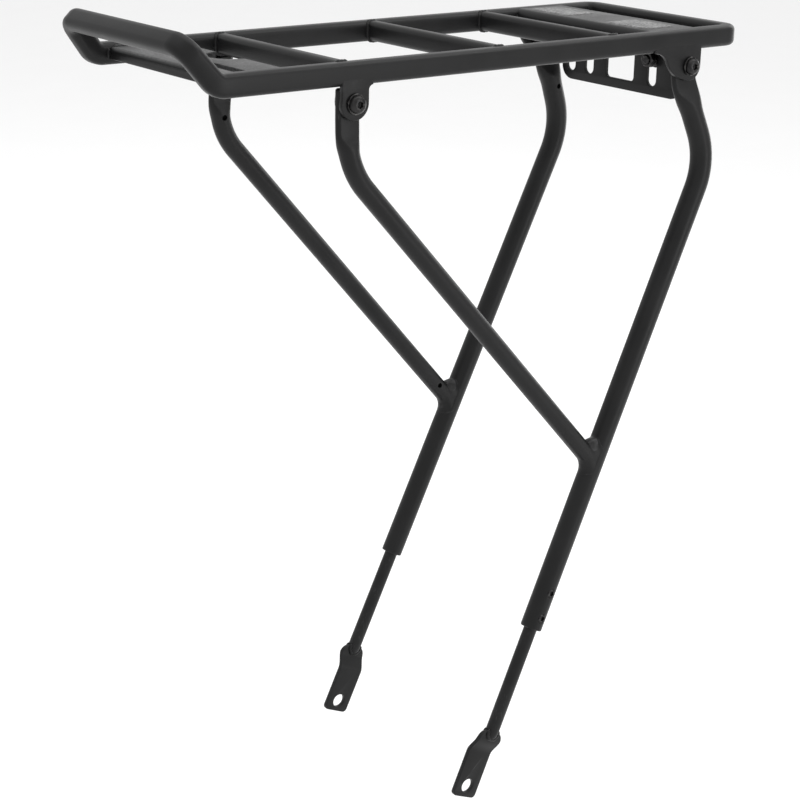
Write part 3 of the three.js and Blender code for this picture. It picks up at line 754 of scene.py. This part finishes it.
def ear_outline(bolt, end):
    """An ear that runs up over the rail's lower outer corner, so that their outer faces are one."""
    top = rail_bottom + RAIL_CORNER + 0.4
    left, right = bolt.x - EAR_RADIUS, bolt.x + EAR_RADIUS
    if end == "rear":
        points = [(left, top), (left - 12, top), *rear_flank(bolt)]
        points += arc((bolt.x, bolt.z), EAR_RADIUS, 244, 360, 16)
        return points + [(right, top)]
    points = [(left + 0.6, top), (left + 0.6, bolt.z + 3)]
    points += arc((bolt.x, bolt.z), EAR_RADIUS, 185, 360, 22)
    points += arc((right + EAR_FILLET, rail_bottom - EAR_FILLET), EAR_FILLET, 180, 90, 6)
    return points + [(right + EAR_FILLET, rail_bottom + 1), (right + 1, top)]


def make_ear(side, end):
    sign = SIDES[side]
    bolt = middle(f"{side}_{end}_washer")
    bm = plate(ear_outline(bolt, end), [], EAR_THICKNESS, bevel=0.45)
    upright = Matrix.Rotation(pi / 2, 4, "X")
    bm.transform(Matrix.Translation((0, sign * (ear_outer - EAR_THICKNESS / 2), 0)) @ upright)
    reach = REAR_EAR_FOOT if end == "rear" else EAR_RADIUS
    limits = (bolt.x - reach + 1, bolt.x + EAR_RADIUS - 1)
    line = [Vector((x, sign * (ear_inner - 0.1), rail_bottom + 0.1)) for x in limits]
    add_weld(bm, line, radius=1.0, seed=bolt.x + sign)
    add_piece(f"{side}_{end}_lug", bm, replaces=[f"{side}_{end}_ear"])


for side in SIDES:
    for end in ("front", "rear"):
        make_ear(side, end)


# ---- Legs and struts ----------------------------------------------------------------------------

def leg_line(side):
    """The centre of the leg's open lower end and its direction upwards, from the frame."""
    sign = SIDES[side]
    joint = next(j for j in frame["joints"] if j["child"] == f"{side}_foot")
    up = -Vector(joint["axis"]).normalized()
    low, high = box(f"{side}_leg_tube")
    spread = [LEG_RADIUS * sqrt(1 - c * c) for c in up]
    outer = high.y if sign > 0 else low.y
    return Vector((low.x + spread[0], outer - sign * spread[1], low.z + spread[2])), up


def on_leg(side, z):
    end, up = leg_line(side)
    return end + up * ((z - end.z) / up.z)


def drill(centre, axis, radius, depth, count=24):
    """A round cutter that starts at centre and runs along axis."""
    bm = bmesh.new()
    ring = disc(radius, count)
    up = Z if abs(axis.z) < 0.7 else X
    loft(bm, place_rings([centre, centre + axis * depth], up, lambda i: ring))
    return bm


def pressed_tube(corners, bend, radius, flat_width, flat_end, round_start):
    """Rings down a round tube whose top is pressed flat. flat_end and round_start are distances
    down from the top."""
    path = bent_path(corners, [FLAT_BEND, bend], step=radians(3))
    total = length_of(path)
    nose = FLAT_NOSE
    distances = [nose * (1 - cos(pi / 2 * i / 8)) for i in range(9)]
    count = round((total - nose) / 2)
    distances += [nose + (total - nose) * i / count for i in range(1, count + 1)]
    points = resample(path, distances)

    def section_at(i):
        distance = distances[i]
        share = smooth_step(distance, flat_end, round_start)
        swell = smooth_step(distance, flat_end + 1, (flat_end + 2 * round_start) / 3)
        wide = flat_width / 2 + (radius - flat_width / 2) * share
        thick = FLAT_THICKNESS / 2 + (radius - FLAT_THICKNESS / 2) * swell
        if distance < nose:
            wide -= nose - sqrt(nose ** 2 - (nose - distance) ** 2)
            thick -= 0.7 * (1 - distance / nose) ** 3
        return rounded_section(2 * wide, 2 * thick, min(wide, thick) - 1e-4, per_corner=10)

    return place_rings(points, Y, section_at)


def make_leg(side):
    sign = SIDES[side]
    bolt = middle(f"{side}_rear_washer")
    end, up = leg_line(side)
    corners = [
        Vector((bolt.x, sign * flat_y, box(f"{side}_leg_tube")[1].z)),
        Vector((bolt.x, sign * flat_y, FLAT_BEND_Z)),
        on_leg(side, LEG_KNEE_Z),
        end,
    ]
    rings = pressed_tube(corners, LEG_BEND, LEG_RADIUS, LEG_FLAT, LEG_FLAT_END, LEG_ROUND_START)
    rim, inside = rings[-1], []
    for radius, rise in ((LEG_RADIUS - 0.3, 0), (LEG_BORE + 0.25, 0), (LEG_BORE, 0.3),
                         (LEG_BORE, BORE_DEPTH)):
        share = radius / LEG_RADIUS
        inside.append([end + (point - end) * share + up * rise for point in rim])
    rings[-1] = [point + up * 0.3 for point in rim]
    bm = bmesh.new()
    loft(bm, rings + inside)

    holes = []
    for offset in SET_SCREW_OFFSETS:
        place = end + up * offset
        holes.append(drill(place + Y * sign * 3, Y * sign, SET_SCREW_RADIUS + 0.15, 6))
    vent = Vector((bolt.x + LEG_VENT[0], sign * (flat_y - 2), LEG_VENT[1]))
    holes.append(drill(vent, Y * -sign, VENT_RADIUS, VENT_DEPTH))
    cut(bm, holes)
    add_piece(f"{side}_leg", bm, replaces=[f"{side}_leg_tube"])


def make_strut(side):
    sign = SIDES[side]
    bolt = middle(f"{side}_front_washer")
    joint = on_leg(side, STRUT_JOINT_Z)
    up = leg_line(side)[1]
    flat_x = bolt.x + STRUT_FLAT_SHIFT
    corners = [
        Vector((flat_x, sign * flat_y, box(f"{side}_front_strut")[1].z)),
        Vector((flat_x, sign * flat_y, FLAT_BEND_Z)),
        Vector((bolt.x + STRUT_KNEE.x, sign * STRUT_KNEE.y, STRUT_KNEE.z)),
        joint,
    ]
    bm = bmesh.new()
    loft(bm, pressed_tube(corners, STRUT_BEND, STRUT_RADIUS, STRUT_FLAT, STRUT_FLAT_END,
                          STRUT_ROUND_START))

    run = (corners[2] - joint).normalized()
    flat_vent = Vector((flat_x, sign * (flat_y - 1), STRUT_VENT_Z))
    joint_vent = joint + run * JOINT_VENT - Y * sign * 2
    cutters = [drill(vent, Y * -sign, VENT_RADIUS, VENT_DEPTH) for vent in (flat_vent, joint_vent)]
    cutters.append(drill(joint - up * 16, up, LEG_RADIUS - STRUT_DEPTH_IN_WALL, 32, count=48))
    cut(bm, cutters)

    add_fillet(bm, joint, run, STRUT_RADIUS, up, LEG_RADIUS, JOINT_FILLET)
    add_piece(f"{side}_strut", bm, replaces=[f"{side}_front_strut"])


for side in SIDES:
    make_leg(side)
    make_strut(side)


# ---- Feet ---------------------------------------------------------------------------------------

def make_foot(side):
    sign = SIDES[side]
    end, up = leg_line(side)
    place = Matrix.Translation(end) @ Z.rotation_difference(up).to_matrix().to_4x4()

    top, bottom = ROD_INSIDE - 0.5, TAB_TOP - ROD_IN_TAB
    steps = int((top - TAB_TOP) / ROD_RING_STEP)
    profile = [(ROD_RADIUS - 0.5, ROD_INSIDE)]
    profile += [(ROD_RADIUS, top - i * ROD_RING_STEP) for i in range(steps)]
    profile += [(ROD_RADIUS, TAB_TOP - 0.5), (ROD_RADIUS * 0.9, bottom + 1.2),
                (ROD_RADIUS * 0.7, bottom)]
    rod = bmesh.new()
    loft(rod, [[Vector((x, y, z)) for x, y in disc(radius)] for radius, z in profile])
    rod.transform(place)
    body = f"{side}_foot"
    add_piece(f"{side}_rod", rod, body, SLIDING_COAT, [f"{side}_foot_rod"])

    half, shoulder, corner = TAB_WIDTH / 2, TAB_SHOULDER, TAB_CORNER
    outline = (arc((half - corner, TAB_BOTTOM + corner), corner, -90, 0)
               + arc((half - shoulder, TAB_TOP - shoulder), shoulder, 0, 90)
               + arc((shoulder - half, TAB_TOP - shoulder), shoulder, 90, 180)
               + arc((corner - half, TAB_BOTTOM + corner), corner, 180, 270))
    hole = arc((0, TAB_HOLE), TAB_HOLE_RADIUS, 0, 350, 35)
    tab = plate(outline, [hole], TAB_THICKNESS)
    slice_at(tab, Y, [JOGGLE_START + (JOGGLE_END - JOGGLE_START) * i / 12 for i in range(13)])
    for vert in tab.verts:
        down = smooth_step(-vert.co.y, -JOGGLE_START, -JOGGLE_END)
        vert.co.z += sign * JOGGLE_OFFSET * down
    tab.transform(Matrix.Rotation(pi / 2, 4, "X"))
    corners = ((-ROD_RADIUS, -0.6), (-ROD_RADIUS - 0.1, 2), (-1.9, 4.6), (1.9, 4.6),
               (ROD_RADIUS + 0.1, 2), (ROD_RADIUS, -0.6))
    for face in (-1, 1):
        seam = [Vector((x, face * (TAB_THICKNESS / 2 + 0.2), TAB_TOP - z)) for x, z in corners]
        add_weld(tab, seam, radius=1.0, seed=face + sign)
    tab.transform(place)
    add_piece(f"{side}_tab", tab, body, replaces=[f"{side}_foot_tab"])


for side in SIDES:
    make_foot(side)


# ---- Fasteners ----------------------------------------------------------------------------------

def turned(rings, count=48):
    """A turned shape from rings of (radius, height). A radius or a height may be a function of the
    angle."""
    def value(item, angle):
        return item(angle) if callable(item) else item

    points = []
    for radius, height in rings:
        ring = []
        for i in range(count):
            angle = 2 * pi * i / count
            r = value(radius, angle)
            ring.append(Vector((r * cos(angle), r * sin(angle), value(height, angle))))
        points.append(ring)
    return points


def hexagon(across_flats):
    """The radius of a hexagon's outline at an angle."""
    def radius(angle):
        return across_flats / 2 / cos((angle + pi / 6) % (pi / 3) - pi / 6)
    return radius


def button_head(head, height, shank, length, socket, depth):
    """A button-head screw along +Z, with the underside of its head at z = 0."""
    dome = [(head / 2 * cos(a) ** 0.7, height * (0.12 + 0.88 * sin(a)))
            for a in (radians(62) * i / 7 for i in range(8))]
    top = dome[-1][1]
    hexed = hexagon(socket)
    slope = hexagon(socket + 0.4)
    rings = [(shank / 2 - 0.5, -length), (shank / 2, -length + 0.5), (shank / 2, -0.2),
             (shank / 2 + 0.15, 0), (head / 2 - 0.1, 0), *dome, (slope, top), (hexed, top - 0.2),
             (hexed, top - depth), (0.9, top - depth - 0.4)]
    return turned(rings)


def washer(outer, hole, thickness):
    edge = 0.18
    return turned([(hole / 2, edge), (hole / 2 + edge, 0), (outer / 2 - edge, 0), (outer / 2, edge),
                   (outer / 2, thickness - edge), (outer / 2 - edge, thickness),
                   (hole / 2 + edge, thickness), (hole / 2, thickness - edge)])


def nut(across_flats, hole, height):
    """A hexagon nut whose corners are chamfered on both faces."""
    outline = hexagon(across_flats)
    inner = across_flats / 2 - 0.15
    fall = tan(radians(28))
    return turned([
        (hole / 2, 0.3), (hole / 2 + 0.3, 0), (inner, 0),
        (outline, lambda angle: (outline(angle) - inner) * fall),
        (outline, lambda angle: height - (outline(angle) - inner) * fall),
        (inner, height), (hole / 2 + 0.3, height), (hole / 2, height - 0.3)])


def make_fastener(name, node, rings, foot, axis, ringed):
    """Places turned rings with their foot at a point and their height along axis."""
    bm = bmesh.new()
    loft(bm, rings, closed=ringed)
    bm.transform(Matrix.Translation(foot) @ Z.rotation_difference(axis).to_matrix().to_4x4())
    add_piece(name, bm, material=BLACK_STEEL, replaces=[node], smooth=28)


def along(node, axis):
    """The lowest and the highest place of a node along an axis."""
    return sorted(corner.dot(axis) for corner in box(node))


def make_bolt_set(stem, bolt_node, washer_node, nut_node, axis):
    """A button-head screw with its washer and nut, head towards axis, where the frame has them."""
    centre = middle(bolt_node)
    across = centre - axis * centre.dot(axis)
    washer_low, washer_high = along(washer_node, axis)
    bolt_low, bolt_high = along(bolt_node, axis)
    nut_low, nut_high = along(nut_node, axis)
    seat = washer_high + 0.1
    low, high = box(washer_node)
    outer = max(high - low)
    head = outer - WASHER_RIM
    screw = button_head(head, bolt_high - seat, SCREW_SHANK, seat - bolt_low, SCREW_SOCKET,
                        SOCKET_DEPTH)
    make_fastener(f"{stem}_screw_m5", bolt_node, screw, across + axis * seat, axis, False)
    ring = washer(outer, WASHER_HOLE, washer_high - washer_low)
    make_fastener(f"{stem}_disc", washer_node, ring, across + axis * washer_low, axis, True)
    grip = nut(NUT_FLATS, NUT_HOLE, nut_high - nut_low)
    make_fastener(f"{stem}_hex", nut_node, grip, across + axis * nut_low, axis, True)


def make_set_screw(side, number):
    node, out = f"{side}_set_screw_{number}", Y * SIDES[side]
    inner, outer = along(node, out)
    centre = middle(node)
    foot = centre - Y * centre.y + out * inner
    length = outer - inner
    socket = hexagon(SET_SCREW_SOCKET)
    rings = turned([(1.4, 0), (SET_SCREW_RADIUS, 0.4), (SET_SCREW_RADIUS, length - 0.3),
                    (SET_SCREW_RADIUS - 0.3, length), (socket, length), (socket, 0.7), (0.4, 0.5)])
    make_fastener(f"{side}_grub_{number}", node, rings, foot, out, False)


for side, sign in SIDES.items():
    for end in ("front", "rear"):
        stem = f"{side}_{end}"
        make_bolt_set(stem, f"{stem}_bolt", f"{stem}_washer", f"{stem}_nut", Y * sign)
    stem = f"{side}_light"
    make_bolt_set(stem, f"{stem}_screw", f"{stem}_washer", f"{stem}_nut", X)
    for i in (1, 2):
        make_set_screw(side, i)


# ---- Floor, lights and camera -------------------------------------------------------------------

def pale_floor():
    n = Nodes("pale_floor")
    shade = tuple(c * 0.985 for c in FLOOR_COLOR[:3]) + (1,)
    n.join(n.mix(n.noise(90), FLOOR_COLOR, shade), n.shader.inputs["Base Color"])
    n.shader.inputs["Roughness"].default_value = 0.8
    return n.material


def make_floor():
    """A wide pale floor, below the feet at the end of their slide."""
    ground = size_before[0].z / MM - FOOT_SLIDE - 1
    bm = bmesh.new()
    centre_x, around = 140, 64
    rings = [[Vector((centre_x + x, y, ground)) for x, y in disc(radius, around)]
             for radius in FLOOR_RADII]
    loft(bm, rings, caps=False)
    bm.faces.new(list(bm.verts)[:around])
    bmesh.ops.recalc_face_normals(bm, faces=bm.faces)
    bm.transform(Matrix.Scale(MM, 4))
    mesh = bpy.data.meshes.new("floor")
    bm.to_mesh(mesh)
    bm.free()
    mesh.materials.append(pale_floor())
    floor = bpy.data.objects.new("floor", mesh)
    bpy.context.scene.collection.objects.link(floor)


def add_light(name, place, target, size, power):
    """A soft light. Its place and target are millimetres, its size metres and its power watts."""
    light = bpy.data.lights.new(name, "AREA")
    light.shape = "RECTANGLE"
    light.size, light.size_y = size
    light.energy = power
    lamp = bpy.data.objects.new(name, light)
    bpy.context.scene.collection.objects.link(lamp)
    lamp.location = Vector(place) * MM
    aim = Vector(target) - Vector(place)
    lamp.rotation_euler = aim.to_track_quat("-Z", "Y").to_euler()


def make_lights():
    target = (140, 0, -150)
    add_light("overhead", (200, 100, 1600), target, (1.8, 1.8), 12)
    add_light("key", (1150, -560, 1250), target, (0.6, 0.6), 4)
    add_light("left_strip", (710, -1390, 100), target, (0.35, 1.6), 6)
    add_light("rear_rim", (1500, 300, 300), target, (0.5, 1.6), 5)
    world = bpy.data.worlds.new("studio")
    bpy.context.scene.world = world
    world.use_nodes = True
    background = world.node_tree.nodes["Background"]
    background.inputs["Color"].default_value = (1, 1, 1, 1)
    background.inputs["Strength"].default_value = 0.95


def make_camera():
    """The photograph's view: from the bicycle's left and front, a little above the deck."""
    azimuth, elevation, roll = radians(-37.59), radians(18.81), radians(1.07)
    camera = bpy.data.cameras.new("camera")
    camera.lens = 85.61
    camera.sensor_width = 36
    camera.clip_end = 50
    back = Vector((sin(azimuth) * cos(elevation), -cos(azimuth) * cos(elevation), sin(elevation)))
    right = Z.cross(back).normalized()
    up = back.cross(right)
    right, up = right * cos(roll) + up * sin(roll), up * cos(roll) - right * sin(roll)
    eye = bpy.data.objects.new("camera", camera)
    bpy.context.scene.collection.objects.link(eye)
    place = Vector((-464.6, -769.8, 140.5)) * MM
    eye.matrix_world = Matrix.Translation(place) @ Matrix((right, up, back)).transposed().to_4x4()
    bpy.context.scene.camera = eye


make_floor()
make_lights()
make_camera()

bpy.context.scene.view_settings.view_transform = "Standard"
